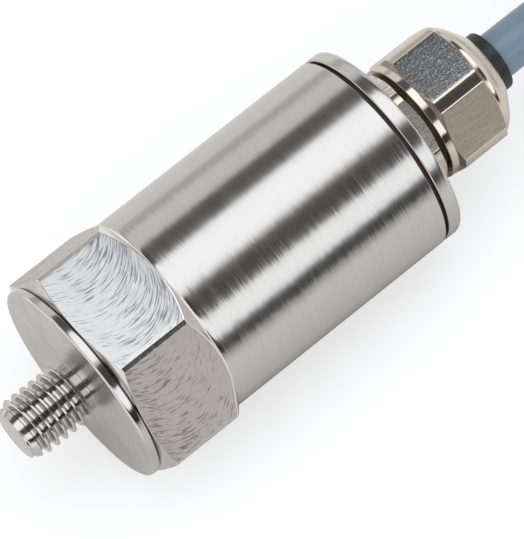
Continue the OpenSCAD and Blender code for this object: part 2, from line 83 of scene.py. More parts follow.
# The hexagon base
HEX_AF = 27.0
BAR_R = 15.4
BOSS_R = 13.45
BOSS_H = 1.1
BOSS_EDGE_R = 0.7
BOSS_BACK_R = 0.3
NOTCH_R = 13.1
HEX_START = 2.0
HEX_END = 11.35
FRONT_ROUND = 0.07
REAR_ROUND = 0.1

# The tube and the cap
BODY_R = 13.4
BODY_START = 13.1
BODY_END = 45.2
BODY_ROUND = 0.5
BORE_R = 11.0
BORE_FLOOR = 10.0
BOLT_HOLE_R = 1.55
BOLT_HOLE_END = 4.6
JOINT_CHAMFER = 0.15
GROOVE_R = 12.7
STAIN_R = 13.1
CAP_START = 45.65
CAP_END = 47.65
CAP_EDGE_R = 0.7
SPIGOT_START = 40.6
SPIGOT_R = 10.95
SPIGOT_HOLLOW_R = 8.55
PLATE_START = 43.35
RING_GROOVE = (42.15, 43.65)
RING_GROOVE_R = 9.75
GLAND_HOLE_R = 6.05

# The gland: body, nut and seal
GLAND_AF = 15.0
GLAND_CORNER_R = 8.3
GLAND_TURN = 30
GLAND_START = 41.15
GLAND_HEX_END = 50.55
GLAND_BEVEL_LEN = 0.5
GLAND_BEVEL_DEPTH = 0.9
GLAND_ROUND = 0.03
GLAND_FLAT_STEPS = 16
GLAND_THREAD_R = 6.0
GLAND_RING_R = 7.3
GLAND_RING_DEPTH = 0.9
NECK_R = 6.4
NECK_END = 57.25
POCKET_R = 5.2
POCKET_START = 51.25
CABLE_BORE_R = 3.1
NUT_AF = 16.0
NUT_CORNER_R = 8.8
NUT_TURN = -3
NUT_START = 51.0
RIM_R = 7.95
RIM_END = 51.95
NUT_FLAT = (52.4, 58.85)
COLLAR_START = 59.3
DOME_START = 59.75
DOME_R = 7.9
SHOULDER = (60.65, 7.2)
NUT_END = 62.45
OPENING_R = 4.05
LIP_R = 4.7
LIP_LEN = 1.0
NUT_BORE_R = 6.45
NUT_BORE_END = 57.65
NUT_FLAT_STEPS = 24
NUT_FLAT_ROUND = 0.06
RIM_ROUNDS = (0.2, 0.1)
COLLAR_ROUNDS = (0.08, 0.12)
SHOULDER_ROUND = 0.5
LIP_ROUNDS = (0.25, 0.15)
EXIT_X = 64.1
SEAL_ROUND = 0.35
SEAL_GAP = 0.05
SEAL_COLUMNS = 96

# The cable, its hank and its end
CABLE_D = 6.1
LEAD_STEPS = [(0, 0, 0), (2, 0, 0), (5, 0, 0), (8, 0, -0.2), (12, -0.1, -1), (16, -0.5, -2.3),
              (20, -1.2, -4.1), (24, -2.3, -6), (27.6, -3.6, -7.5), (32, -5.6, -8.8), (36, -7.5, -9.3),
              (40, -9.3, -9.45), (44, -10.8, -9.45), (48, -11.8, -9.45), (51, -12.3, -9.45)]
HANK_X0 = 117.5
HANK_X1 = 169.5
HANK_Y = 12
HANK_INNER_R = 18.3
HANK_OUTER_R = HANK_INNER_R + CABLE_D
FIRST_LAYER_Z = -9.45
LAYERS = 4
END_R = (HANK_INNER_R + HANK_OUTER_R) / 2
END_Z = 15.35
END_X = 157.5
FOLD_POINTS = 12
RISE_SHARE = 0.75
RUN_POINTS = 3

# Mesh steps, small roundings and tolerances
CORNER_STEPS = 4
FILLET_STEPS = (0, 0.33, 0.67, 1)
HEX_FILLET = 0.04
GLAND_FILLET = 0.08
NUT_FILLET = 0.14
FLAT_STEPS = 40
ROUND_COLUMNS = 192
SHARP_ANGLE = math.radians(20)
WIDE_ROUNDING = 0.25
WIDE_STEPS = 8
SMALL_STEPS = 3
STUB = 1.2
LONGEST_SHARE = 0.4
EDGE_ROUND = 0.05
NEAR = 0.01
SAME = 1e-4


# Camera

def camera_axes():
    """The camera's right, up and backward directions."""
    along = Vector((1, 0, 0))
    up = Vector((0, -math.sin(SIDE_TILT), math.cos(SIDE_TILT)))
    back = math.cos(AXIS_TILT) * up - math.sin(AXIS_TILT) * along
    axis_side = (along + math.sin(AXIS_TILT) * back) / math.cos(AXIS_TILT)
    cross_side = back.cross(axis_side)
    right = math.cos(ROLL) * axis_side - math.sin(ROLL) * cross_side
    upward = math.sin(ROLL) * axis_side + math.cos(ROLL) * cross_side
    return right, upward, back


def make_camera():
    right, upward, back = camera_axes()
    shift_right = (ORIGIN_PX[0] - IMAGE_W / 2) / FOCAL_PX * CAMERA_DISTANCE
    shift_up = (IMAGE_H / 2 - ORIGIN_PX[1]) / FOCAL_PX * CAMERA_DISTANCE
    place = back * CAMERA_DISTANCE - right * shift_right - upward * shift_up
    data = bpy.data.cameras.new("camera")
    data.sensor_fit = "VERTICAL"
    data.sensor_height = SENSOR_H
    data.lens = SENSOR_H * FOCAL_PX / IMAGE_H
    data.clip_start, data.clip_end = CLIP
    camera = bpy.data.objects.new("camera", data)
    turn = Matrix((right, upward, back)).transposed().to_4x4()
    camera.matrix_world = Matrix.Translation(place * MM) @ turn
    bpy.context.scene.collection.objects.link(camera)
    bpy.context.scene.camera = camera


# Node helpers

def node(tree, kind, inputs=None, **settings):
    """A new node. Inputs are set by name or number, from a constant or from another node's output."""
    made = tree.nodes.new(kind)
    for key, value in settings.items():
        setattr(made, key, value)
    for key, value in (inputs or {}).items():
        if isinstance(value, bpy.types.NodeSocket):
            tree.links.new(value, made.inputs[key])
        else:
            made.inputs[key].default_value = value
    return made


def math_node(tree, operation, *values):
    return node(tree, "ShaderNodeMath", dict(enumerate(values)), operation=operation).outputs[0]


def vector_node(tree, operation, *values):
    return node(tree, "ShaderNodeVectorMath", dict(enumerate(values)), operation=operation).outputs[0]


def place_of(tree):
    """The point on the surface, in metres, in the row frame."""
    return node(tree, "ShaderNodeTexCoord").outputs["Object"]


def noise(tree, vector, scale, detail=2.0, rough=0.5):
    """Noise from 0 to 1. Scale is one number, or one for each direction, in cycles a metre."""
    if isinstance(scale, tuple):
        vector = vector_node(tree, "MULTIPLY", vector, scale)
        scale = 1.0
    inputs = {"Vector": vector, "Scale": scale, "Detail": detail, "Roughness": rough}
    return node(tree, "ShaderNodeTexNoise", inputs).outputs["Fac"]


def remap(tree, value, low, high, new_low, new_high):
    """Value moved from one span to another, and kept inside it."""
    inputs = {"Value": value, "From Min": low, "From Max": high, "To Min": new_low, "To Max": new_high}
    return node(tree, "ShaderNodeMapRange", inputs).outputs["Result"]


def mix_color(tree, factor, first, second):
    """One colour turning into another as the factor goes from 0 to 1."""
    made = node(tree, "ShaderNodeMix", data_type="RGBA")
    for index, value in ((0, factor), (6, first), (7, second)):
        if isinstance(value, bpy.types.NodeSocket):
            tree.links.new(value, made.inputs[index])
        else:
            made.inputs[index].default_value = value if index == 0 else (*value, 1)
    return made.outputs[2]


def bump(tree, height, distance):
    inputs = {"Height": height, "Strength": 1.0, "Distance": distance}
    return node(tree, "ShaderNodeBump", inputs).outputs["Normal"]


def start_material(name, metallic=1.0):
    """A material with one principled shader. Returns the material, its tree and the shader."""
    material = bpy.data.materials.new(name)
    material.use_nodes = True
    tree = material.node_tree
    shader = tree.nodes["Principled BSDF"]
    shader.inputs["Metallic"].default_value = metallic
    return material, tree, shader


def feed(tree, shader, **sockets):
    """Links outputs to the shader's inputs."""
    for key, value in sockets.items():
        tree.links.new(value, shader.inputs[key.replace("_", " ")])


def tilted_normal(tree, amount):
    """The surface's normal, turned about the sensor's axis by a small amount."""
    normal = node(tree, "ShaderNodeNewGeometry").outputs["Normal"]
    side = vector_node(tree, "CROSS_PRODUCT", (1, 0, 0), normal)
    turn = node(tree, "ShaderNodeVectorMath", {0: side, "Scale": amount}, operation="SCALE").outputs[0]
    return vector_node(tree, "NORMALIZE", vector_node(tree, "ADD", normal, turn))


# Materials of the metal pieces

STEEL = (0.53, 0.51, 0.485)
STEEL_DARK = (0.42, 0.405, 0.39)
# The next two steel colours brighten the rear cone as a painted highlight.
STEEL_PAINTED_HIGHLIGHT_DIM = (0.7, 0.665, 0.63)
STEEL_PAINTED_HIGHLIGHT = (0.88, 0.835, 0.785)
NICKEL = (0.60, 0.54, 0.465)
NICKEL_DARK = (0.46, 0.40, 0.34)


def turned_steel(name, low=0.16, high=0.23, jitter=0.085):
    """Steel with fine lines round it, left by the lathe."""
    material, tree, shader = start_material(name)
    place = place_of(tree)
    lines = noise(tree, place, (6500, 70, 70), 3, 0.7)
    broad = noise(tree, place, (900, 25, 25), 2)
    specks = noise(tree, place, 900, 2)
    color = mix_color(tree, remap(tree, lines, 0.3, 0.7, 0.4, 0), STEEL, STEEL_DARK)
    color = mix_color(tree, remap(tree, specks, 0.68, 0.76, 0, 0.3), color, STEEL_DARK)
    rough = math_node(tree, "ADD", remap(tree, lines, 0.3, 0.7, low, high),
                      remap(tree, broad, 0.3, 0.7, -0.015, 0.015))
    along = node(tree, "ShaderNodeSeparateXYZ", {0: place}).outputs["X"]
    sway = remap(tree, along, (BODY_START + 1) * MM, (BODY_START + 6) * MM, 1.7 * jitter, jitter)
    turn = math_node(tree, "MULTIPLY", math_node(tree, "SUBTRACT", lines, 0.5), sway)
    feed(tree, shader, Base_Color=color, Roughness=rough, Normal=tilted_normal(tree, turn))
    return material


FACE_BAND = 0.05 * MM
FACE_DULL = 0.17


def polished_steel(name, color, other):
    """Bright turned steel with faint rings and a few marks, duller on the mounting face."""
    material, tree, shader = start_material(name)
    place = place_of(tree)
    flat = vector_node(tree, "MULTIPLY", place, (0, 1, 1))
    radius = node(tree, "ShaderNodeVectorMath", {0: flat}, operation="LENGTH").outputs["Value"]
    rings = noise(tree, node(tree, "ShaderNodeCombineXYZ", {0: radius}).outputs[0], 2600, 2, 0.5)
    cloud = noise(tree, place, 260, 3)
    mixed = mix_color(tree, remap(tree, cloud, 0.35, 0.7, 0, 0.5), color, other)
    along = node(tree, "ShaderNodeSeparateXYZ", {0: place}).outputs["X"]
    on_face = math_node(tree, "COMPARE", along, 0, FACE_BAND)
    rough = math_node(tree, "ADD", remap(tree, rings, 0.3, 0.7, 0.085, 0.115),
                      remap(tree, cloud, 0.4, 0.7, 0, 0.05))
    rough = math_node(tree, "ADD", rough, math_node(tree, "MULTIPLY", on_face, FACE_DULL))
    feed(tree, shader, Base_Color=mixed, Roughness=rough, Normal=bump(tree, rings, 1e-7))
    return material


def flat_place(tree):
    """Distance along the axis and across the nearest of six flats, in metres, and the flat's number."""
    split = node(tree, "ShaderNodeSeparateXYZ", {0: place_of(tree)}).outputs
    angle = math_node(tree, "ARCTAN2", split["Z"], split["Y"])
    sixth = math.radians(60)
    first = math.radians(90)
    sides = math_node(tree, "DIVIDE", math_node(tree, "SUBTRACT", angle, first), sixth)
    count = math_node(tree, "ROUND", sides)
    facing = math_node(tree, "ADD", math_node(tree, "MULTIPLY", count, sixth), first)
    across = math_node(tree, "SUBTRACT",
                       math_node(tree, "MULTIPLY", split["Z"], math_node(tree, "COSINE", facing)),
                       math_node(tree, "MULTIPLY", split["Y"], math_node(tree, "SINE", facing)))
    return split["X"], across, count


# The cutter that crossed the base's flats, and the colours of every other flat and of its strokes
CUTTER_R = 6.9 * MM
CUTTER_X = 6.1 * MM
FLAT_COLORS = ((0.74, 0.73, 0.715), (0.585, 0.55, 0.52))
STROKE_COLORS = ((0.24, 0.25, 0.27), (0.28, 0.245, 0.215))


def milled_steel(name):
    """Steel with the curved marks of a cutter that crossed each flat."""
    material, tree, shader = start_material(name)
    along, across, count = flat_place(tree)
    odd = math_node(tree, "PINGPONG", count, 1)
    reach = math_node(tree, "SUBTRACT", along, CUTTER_X)
    lean = math_node(tree, "ARCSINE", math_node(tree, "DIVIDE", reach, CUTTER_R))
    feed_place = math_node(tree, "SUBTRACT", across,
                           math_node(tree, "MULTIPLY", math_node(tree, "COSINE", lean), CUTTER_R))
    length = math_node(tree, "MULTIPLY", lean, remap(tree, odd, 0, 1, CUTTER_R, 2 * CUTTER_R))
    arc = node(tree, "ShaderNodeCombineXYZ", {0: length, 1: feed_place, 2: count}).outputs[0]
    strokes = noise(tree, arc, (330, 4600, 3.7), 2, 0.55)
    fine = noise(tree, arc, (430, 9500, 5.1), 2, 0.6)
    patches = noise(tree, arc, (190, 330, 2.3), 2)
    far = remap(tree, along, HEX_START * MM, HEX_END * MM, -0.04, 0.06)
    swing = math_node(tree, "MULTIPLY", far, remap(tree, odd, 0, 1, 1, -0.8))
    dense = math_node(tree, "ADD", swing, remap(tree, patches, 0.35, 0.65, -0.035, 0.035))
    mark = remap(tree, math_node(tree, "ADD", strokes, dense), 0.565, 0.63, 0, 0.95)
    hair = remap(tree, math_node(tree, "ADD", fine, dense), 0.53, 0.66, 0, 0.55)
    dark = math_node(tree, "MAXIMUM", mark, hair)
    color = mix_color(tree, dark, mix_color(tree, odd, *FLAT_COLORS), mix_color(tree, odd, *STROKE_COLORS))
    depth = math_node(tree, "ADD", strokes, math_node(tree, "MULTIPLY", fine, 0.4))
    rough = math_node(tree, "ADD", remap(tree, fine, 0.3, 0.7, 0.36, 0.46),
                      math_node(tree, "MULTIPLY", odd, 0.1))
    feed(tree, shader, Base_Color=color, Roughness=rough, Normal=bump(tree, depth, 1.3e-5))
    return material


def nickel_plate(name):
    """Bright plate with slight waves and small marks."""
    material, tree, shader = start_material(name)
    place = place_of(tree)
    waves = noise(tree, place, 300, 2)
    specks = noise(tree, place, 2600, 2)
    color = mix_color(tree, remap(tree, waves, 0.3, 0.7, 0, 0.35), NICKEL, NICKEL_DARK)
    rough = remap(tree, specks, 0.35, 0.7, 0.09, 0.17)
    feed(tree, shader, Base_Color=color, Roughness=rough, Normal=bump(tree, waves, 1.2e-5))
    return material


# Plated flats: light and dark colour, lowest and highest roughness, and how bright the specks are
PLATED = {
    "nickel.flat": ((0.64, 0.64, 0.625), (0.205, 0.207, 0.205), 0.14, 0.24, 0.95),
    "nickel.satin": ((0.52, 0.445, 0.375), (0.40, 0.335, 0.28), 0.36, 0.46, 0.06),
    "nickel.drawn": ((0.9, 0.84, 0.77), (0.42, 0.38, 0.335), 0.24, 0.34, 0.9),
}


def nickel_flat(name, color, other, low, high, speck):
    """Plated flats of drawn bar, with streaks along the axis, fine pits and a few bright specks."""
    material, tree, shader = start_material(name)
    place = place_of(tree)
    grain = noise(tree, place, (420, 5200, 5200), 3, 0.65)
    pits = noise(tree, place, (3600, 6800, 6800), 2, 0.65)
    specks = noise(tree, place, (3900, 5600, 5600), 1, 0.6)
    depth = math_node(tree, "ADD", grain, math_node(tree, "MULTIPLY", pits, 0.8))
    tone = math_node(tree, "ADD", math_node(tree, "MULTIPLY", grain, 0.6),
                     math_node(tree, "MULTIPLY", pits, 0.4))
    mixed = mix_color(tree, remap(tree, tone, 0.44, 0.56, 0, 1), color, other)
    mixed = mix_color(tree, remap(tree, specks, 0.6, 0.67, 0, 1), mixed, lighter(color, speck))
    rough = remap(tree, grain, 0.3, 0.7, low, high)
    feed(tree, shader, Base_Color=mixed, Roughness=rough, Normal=bump(tree, depth, 5e-6))
    return material


# Materials of the other pieces

STAIN_COLORS = ((0.11, 0.042, 0.03), (0.045, 0.024, 0.02))
# The neck's dark colours are painted shade in the gap between the gland's hexagon and the nut.
NECK_SHADE_COLORS = ((0.16, 0.12, 0.08), (0.1, 0.075, 0.05))
JACKET = (0.19, 0.265, 0.335)
UNEVEN_GLOSS = 0.06
SECOND_COLOR = 0.86


def plain_material(name, color, other, roughness, metallic=0.0, grain=900, depth=4e-6):
    """A moulded, cast or drawn surface: two close colours, uneven gloss and a fine grain."""
    material, tree, shader = start_material(name, metallic)
    place = place_of(tree)
    cloud = noise(tree, place, grain / 6, 3)
    fine = noise(tree, place, grain, 3, 0.6)
    mixed = mix_color(tree, remap(tree, cloud, 0.3, 0.7, 0, 1), color, other)
    rough = remap(tree, fine, 0.3, 0.7, roughness - UNEVEN_GLOSS, roughness + UNEVEN_GLOSS)
    feed(tree, shader, Base_Color=mixed, Roughness=rough, Normal=bump(tree, fine, depth))
    return material


def darker(color, share):
    return tuple(part * share for part in color)


def lighter(color, share):
    return tuple(part + (1 - part) * share for part in color)


def slot_materials():
    """One procedural material for each of the record's slots: colour, roughness, metal, grain and depth."""
    finishes = {
        "seal_rubber": ((0.009, 0.0095, 0.0105), 0.44, 0.0, 1400, 1.2e-5),
        "ceramic": ((0.50, 0.42, 0.26), 0.5, 0.0, 1800, 6e-6),
        "insulator": ((0.84, 0.82, 0.75), 0.35, 0.0, 1800, 3e-6),
        "contact": ((0.75, 0.48, 0.17), 0.25, 1.0, 2500, 2e-6),
        "dense_metal": ((0.25, 0.255, 0.27), 0.38, 1.0, 3000, 4e-6),
        "black_steel": ((0.035, 0.035, 0.04), 0.45, 0.6, 3000, 4e-6),
        "spring_steel": ((0.42, 0.42, 0.41), 0.3, 1.0, 3000, 3e-6),
        "brass": ((0.72, 0.52, 0.22), 0.28, 1.0, 3000, 3e-6),
        "board": ((0.012, 0.12, 0.035), 0.3, 0.0, 2600, 3e-6),
        "chip": ((0.02, 0.02, 0.022), 0.55, 0.0, 5000, 4e-6),
        "terminal": ((0.02, 0.16, 0.05), 0.45, 0.0, 3500, 4e-6),
        "screw_steel": ((0.52, 0.52, 0.5), 0.25, 1.0, 3000, 3e-6),
        "brown_core": ((0.085, 0.035, 0.014), 0.35, 0.0, 2200, 4e-6),
        "white_core": ((0.78, 0.78, 0.73), 0.35, 0.0, 2200, 4e-6),
        "red_core": ((0.45, 0.016, 0.012), 0.35, 0.0, 2200, 4e-6),
        "tinned": ((0.55, 0.55, 0.54), 0.3, 1.0, 3500, 5e-6),
        "nylon": ((0.02, 0.02, 0.022), 0.42, 0.0, 2400, 5e-6),
        "shrink": ((0.022, 0.022, 0.024), 0.5, 0.0, 1500, 1e-5),
        "jacket": (JACKET, 0.38, 0.0, 1100, 6e-6),
    }
    made = {slot: plain_material(slot, color, darker(color, SECOND_COLOR), rough, metal, grain, depth)
            for slot, (color, rough, metal, grain, depth) in finishes.items()}
    made["stainless"] = turned_steel("stainless")
    made["nickel"] = nickel_plate("nickel")
    return made


NODE_SLOTS = {
    "insulating_washer": "insulator", "piezo_ring_lower": "ceramic", "piezo_ring_upper": "ceramic",
    "electrode": "contact", "seismic_mass": "dense_metal", "spring_washer": "spring_steel",
    "preload_bolt": "black_steel", "signal_wire": "red_core", "board_standoffs": "brass",
    "circuit_board": "board", "board_components": "chip", "board_screws": "screw_steel",
    "terminal_block": "terminal", "terminal_screws": "screw_steel", "cap_seal_ring": "seal_rubber",
    "gland_seal_ring": "seal_rubber", "cable_tail": "jacket", "core_brown": "brown_core",
    "core_white": "white_core", "shield_drain": "tinned", "hank_ties": "nylon",
    "end_sleeve": "shrink", "lead_brown": "brown_core", "lead_white": "white_core",
    "lead_shield": "tinned", "lead_ferrules": "tinned",
}


def dress_nodes(materials):
    """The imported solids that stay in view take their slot's material."""
    for name, slot in NODE_SLOTS.items():
        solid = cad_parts[name]
        solid.data.materials.clear()
        solid.data.materials.append(materials[slot])


# Turned and milled pieces

def rounded(points):
    """A line of (x, r, rounding) points. A rounded corner is a short curve between two straight stubs."""
    line = []
    last = len(points) - 1
    for index, (x, r, rounding) in enumerate(points):
        corner = Vector((x, r))
        if rounding == 0 or index in (0, last):
            line.append(corner)
            continue
        steps = WIDE_STEPS if rounding > WIDE_ROUNDING else SMALL_STEPS
        before = Vector(points[index - 1][:2]) - corner
        after = Vector(points[index + 1][:2]) - corner
        start = before.normalized() * min(rounding, before.length * LONGEST_SHARE)
        end = after.normalized() * min(rounding, after.length * LONGEST_SHARE)
        line.append(corner + start * STUB)
        for step in range(steps + 1):
            t = step / steps
            line.append(corner + (1 - t) ** 2 * start + t * t * end)
        line.append(corner + end * STUB)
    return line


def rise(start, end, limit):
    """The point where a cone from start to end meets the limit, or its end where it doesn't."""
    if end[1] <= limit:
        return end
    share = (limit - start[1]) / (end[1] - start[1])
    return (start[0] + share * (end[0] - start[0]), limit)


def fillet_columns(half, af, corner_r, fillet):
    """Leans and radii of a small fillet where a flat meets its turned corner."""
    edge = Vector((af / 2, af / 2 * math.tan(half)))
    start = edge - Vector((0, fillet))
    turn = half + fillet / corner_r
    end = Vector((math.cos(turn), math.sin(turn))) * corner_r
    points = [(1 - t) ** 2 * start + 2 * t * (1 - t) * edge + t * t * end for t in FILLET_STEPS]
    return [(math.degrees(math.atan2(y, x)), math.hypot(x, y)) for x, y in points]


def hex_columns(af, corner_r, turn, fillet, flat_steps):
    """Columns round a hexagon with turned corners: angle, radius, and the flat's number or 0."""
    edges = fillet_columns(math.acos(af / 2 / corner_r), af, corner_r, fillet)
    flat_half, corner_half = edges[0][0], edges[-1][0]
    columns = []
    for side in range(6):
        facing = 90 + turn + 60 * side
        for step in range(flat_steps):
            lean = flat_half * (2 * step / flat_steps - 1)
            columns.append((facing + lean, af / 2 / math.cos(math.radians(lean)), side + 1))
        columns += [(facing + lean, radius, 0) for lean, radius in edges[:-1]]
        for step in range(CORNER_STEPS):
            lean = corner_half + (60 - 2 * corner_half) * step / CORNER_STEPS
            columns.append((facing + lean, corner_r, 0))
        columns += [(facing + 60 - lean, radius, 0) for lean, radius in reversed(edges[1:])]
    return columns


def round_columns(count):
    return [(360 * step / count, math.inf, 0) for step in range(count)]


def revolve(name, columns, line_of, finish_of, materials, closed):
    """A mesh of profile lines set round the axis. A closed profile is a loop."""
    lines = [line_of(angle, limit) for angle, limit, _ in columns]
    rows = len(lines[0])
    count = len(columns)
    mesh = bmesh.new()
    grid = []
    for (angle, _, _), line in zip(columns, lines):
        y, z = math.cos(math.radians(angle)), math.sin(math.radians(angle))
        grid.append([mesh.verts.new((x * MM, r * y * MM, r * z * MM)) for x, r in line])
    for column in range(count):
        here, there = grid[column], grid[(column + 1) % count]
        for row in range(rows if closed else rows - 1):
            onward = (row + 1) % rows
            face = mesh.faces.new((here[row], here[onward], there[onward], there[row]))
            face.material_index = finish_of(columns[column][2], lines[column][row], lines[column][onward])
            face.smooth = True
    bmesh.ops.remove_doubles(mesh, verts=mesh.verts, dist=1e-7)
    bmesh.ops.recalc_face_normals(mesh, faces=mesh.faces)
    data = bpy.data.meshes.new(name)
    mesh.to_mesh(data)
    mesh.free()
    data.set_sharp_from_angle(angle=SHARP_ANGLE)
    for material in materials:
        data.materials.append(material)
    piece = bpy.data.objects.new(name, data)
    bpy.context.scene.collection.objects.link(piece)
    return piece


def finish_piece(piece, slot, *nodes):
    """Hides the imported nodes that a piece stands for and sets it on the body. The slot is not used."""
    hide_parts(*nodes)
    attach(piece, "root")


def smooth(value):
    """From 0 to 1, slow at both ends."""
    value = min(max(value, 0), 1)
    return value * value * (3 - 2 * value)


def thread_radius(x, angle):
    """Radius of the stud's thread, between its chamfered tip and its run-out into the relief."""
    turn = (x / THREAD_PITCH - angle / 360) % 1
    fall = abs(turn - 0.5) * THREAD_PITCH * math.sqrt(3)
    crest = THREAD_PITCH / 16 * math.sqrt(3)
    share = min(max(fall - crest, 0) / THREAD_DEPTH, 1)
    radius = STUD_R - THREAD_DEPTH * (share + 3 * smooth(share)) / 4
    tip = STUD_R - TIP_CHAMFER + TIP_SLOPE * (x + STUD_LEN)
    run_out = RELIEF_R - NECK_LEN - x
    return min(radius, tip, run_out)


def housing_line(angle, limit):
    """Profile of the housing, from the stud's tip over the outside and down its bore to the axis."""
    tip_r = STUD_R - TIP_CHAMFER
    steps = round((STUD_LEN - NECK_LEN) / THREAD_ROW)
    stud = [Vector((-STUD_LEN, 0)), Vector((-STUD_LEN, tip_r * 0.5)), Vector((-STUD_LEN, tip_r - TIP_EDGE))]
    for step in range(1, steps):
        x = -STUD_LEN + (STUD_LEN - NECK_LEN) * step / steps
        stud.append(Vector((x, thread_radius(x, angle))))
    front = rise((BOSS_H, NOTCH_R), (HEX_START, BAR_R), limit)
    rear = rise((BODY_START, BODY_R), (HEX_END, BAR_R), limit)
    rest = [
        (-NECK_LEN, RELIEF_R, 0), (0, RELIEF_R, FOOT_ROUND), (0, BOSS_R * 0.6, 0), (0, BOSS_R, BOSS_EDGE_R),
        (BOSS_H, BOSS_R, BOSS_BACK_R), (BOSS_H, NOTCH_R, EDGE_ROUND), (*front, FRONT_ROUND),
        (*rear, REAR_ROUND), (BODY_START, BODY_R, BODY_ROUND),
        (BODY_END - JOINT_CHAMFER, BODY_R, EDGE_ROUND), (BODY_END, BODY_R - JOINT_CHAMFER, EDGE_ROUND),
        (BODY_END, STAIN_R, 0), (BODY_END, BORE_R, 0), (BORE_FLOOR, BORE_R, 0),
        (BORE_FLOOR, BOLT_HOLE_R, 0), (BOLT_HOLE_END, BOLT_HOLE_R, 0), (BOLT_HOLE_END, 0, 0),
    ]
    return stud + rounded(rest)


def along_axis(start, end):
    """Whether a stretch of profile runs along the axis."""
    return abs(start[1] - end[1]) < SAME < abs(start[0] - end[0])


def housing_finish(flat, start, end):
    """0 turned, 1 polished, 2 milled, 3 stained, 4 the rear cone with a painted highlight."""
    middle = (start[0] + end[0]) / 2
    if abs(middle - BODY_END) < NEAR and max(start[1], end[1]) < STAIN_R + NEAR:
        return 3
    if HEX_START < middle < BODY_START and not along_axis(start, end):
        return 4
    if not along_axis(start, end) or middle < BOSS_H:
        return 1
    return 2 if flat and middle < BODY_START else 0


def make_housing(*materials):
    columns = hex_columns(HEX_AF, BAR_R, 0, HEX_FILLET, FLAT_STEPS)
    piece = revolve("housing.turned", columns, housing_line, housing_finish, materials, False)
    finish_piece(piece, "stainless", "housing")


def cap_line(angle, limit):
    return rounded([
        (CAP_END, GLAND_HOLE_R, 0), (CAP_END, BODY_R, CAP_EDGE_R),
        (CAP_START + JOINT_CHAMFER, BODY_R, EDGE_ROUND), (CAP_START, BODY_R - JOINT_CHAMFER, EDGE_ROUND),
        (CAP_START, STAIN_R, 0), (CAP_START, GROOVE_R, 0), (BODY_END, GROOVE_R, 0), (BODY_END, SPIGOT_R, 0),
        (RING_GROOVE[1], SPIGOT_R, 0), (RING_GROOVE[1], RING_GROOVE_R, 0),
        (RING_GROOVE[0], RING_GROOVE_R, 0), (RING_GROOVE[0], SPIGOT_R, 0), (SPIGOT_START, SPIGOT_R, 0),
        (SPIGOT_START, SPIGOT_HOLLOW_R, 0), (PLATE_START, SPIGOT_HOLLOW_R, 0), (PLATE_START, GLAND_HOLE_R, 0),
    ])


def cap_finish(flat, start, end):
    """1 on the groove's stained walls, 0 elsewhere."""
    in_groove = BODY_END - NEAR < min(start[0], end[0]) and max(start[0], end[0]) < CAP_START + NEAR
    return 1 if in_groove and max(start[1], end[1]) < STAIN_R + NEAR else 0


def make_cap(*materials):
    piece = revolve("cap.turned", round_columns(ROUND_COLUMNS), cap_line, cap_finish, materials, True)
    finish_piece(piece, "stainless", "cap")


def gland_line(angle, limit):
    corner = min(GLAND_CORNER_R, limit)
    top_r = GLAND_CORNER_R - GLAND_BEVEL_DEPTH
    bevel_start = rise((GLAND_HEX_END, top_r), (GLAND_HEX_END - GLAND_BEVEL_LEN, GLAND_CORNER_R), limit)
    return rounded([
        (GLAND_START, CABLE_BORE_R, 0), (GLAND_START, GLAND_THREAD_R, 0),
        (CAP_END + GLAND_RING_DEPTH, GLAND_THREAD_R, 0), (CAP_END + GLAND_RING_DEPTH, GLAND_RING_R, 0),
        (CAP_END, GLAND_RING_R, 0), (CAP_END, corner, EDGE_ROUND), (*bevel_start, GLAND_ROUND),
        (GLAND_HEX_END, top_r, GLAND_ROUND), (GLAND_HEX_END, NECK_R, 0), (NECK_END, NECK_R, 0),
        (NECK_END, POCKET_R, 0), (POCKET_START, POCKET_R, 0), (POCKET_START, CABLE_BORE_R, 0),
    ])


# The nut's two flats with a satin finish, by number
SATIN_FLATS = (2, 5)


def gland_finish(flat, start, end):
    """1 on the flats, 2 on the neck with painted shade, 0 elsewhere."""
    if not along_axis(start, end):
        return 0
    if abs(start[1] - NECK_R) < SAME:
        return 2
    return 1 if flat and start[1] > GLAND_RING_R + NEAR else 0


def nut_finish(flat, start, end):
    """1 on bright flats, 2 on satin flats, 0 elsewhere."""
    middle = (start[0] + end[0]) / 2
    on_flat = flat and along_axis(start, end) and RIM_END < middle < COLLAR_START
    if not on_flat or start[1] < NUT_BORE_R + NEAR:
        return 0
    return 2 if flat in SATIN_FLATS else 1


def make_gland_body(plate, flat, neck):
    columns = hex_columns(GLAND_AF, GLAND_CORNER_R, GLAND_TURN, GLAND_FILLET, GLAND_FLAT_STEPS)
    piece = revolve("gland_body.plated", columns, gland_line, gland_finish, [plate, flat, neck], True)
    finish_piece(piece, "nickel", "gland_body")


def nut_line(angle, limit):
    low = rise((RIM_END, RIM_R), (NUT_FLAT[0], NUT_CORNER_R), limit)
    high = rise((COLLAR_START, DOME_R), (NUT_FLAT[1], NUT_CORNER_R), limit)
    return rounded([
        (NUT_START, NUT_BORE_R, 0), (NUT_START, RIM_R, RIM_ROUNDS[0]), (RIM_END, RIM_R, RIM_ROUNDS[1]),
        (*low, NUT_FLAT_ROUND), (*high, NUT_FLAT_ROUND), (COLLAR_START, DOME_R, COLLAR_ROUNDS[0]),
        (DOME_START, DOME_R, COLLAR_ROUNDS[1]), (*SHOULDER, SHOULDER_ROUND),
        (NUT_END, LIP_R, LIP_ROUNDS[0]), (NUT_END, OPENING_R, LIP_ROUNDS[1]),
        (NUT_END - LIP_LEN, OPENING_R, 0), (NUT_BORE_END, POCKET_R, 0), (NUT_BORE_END, NUT_BORE_R, 0),
    ])


def make_nut(plate, flat, satin):
    columns = hex_columns(NUT_AF, NUT_CORNER_R, NUT_TURN, NUT_FILLET, NUT_FLAT_STEPS)
    piece = revolve("gland_nut.plated", columns, nut_line, nut_finish, [plate, flat, satin], True)
    finish_piece(piece, "nickel", "gland_nut")


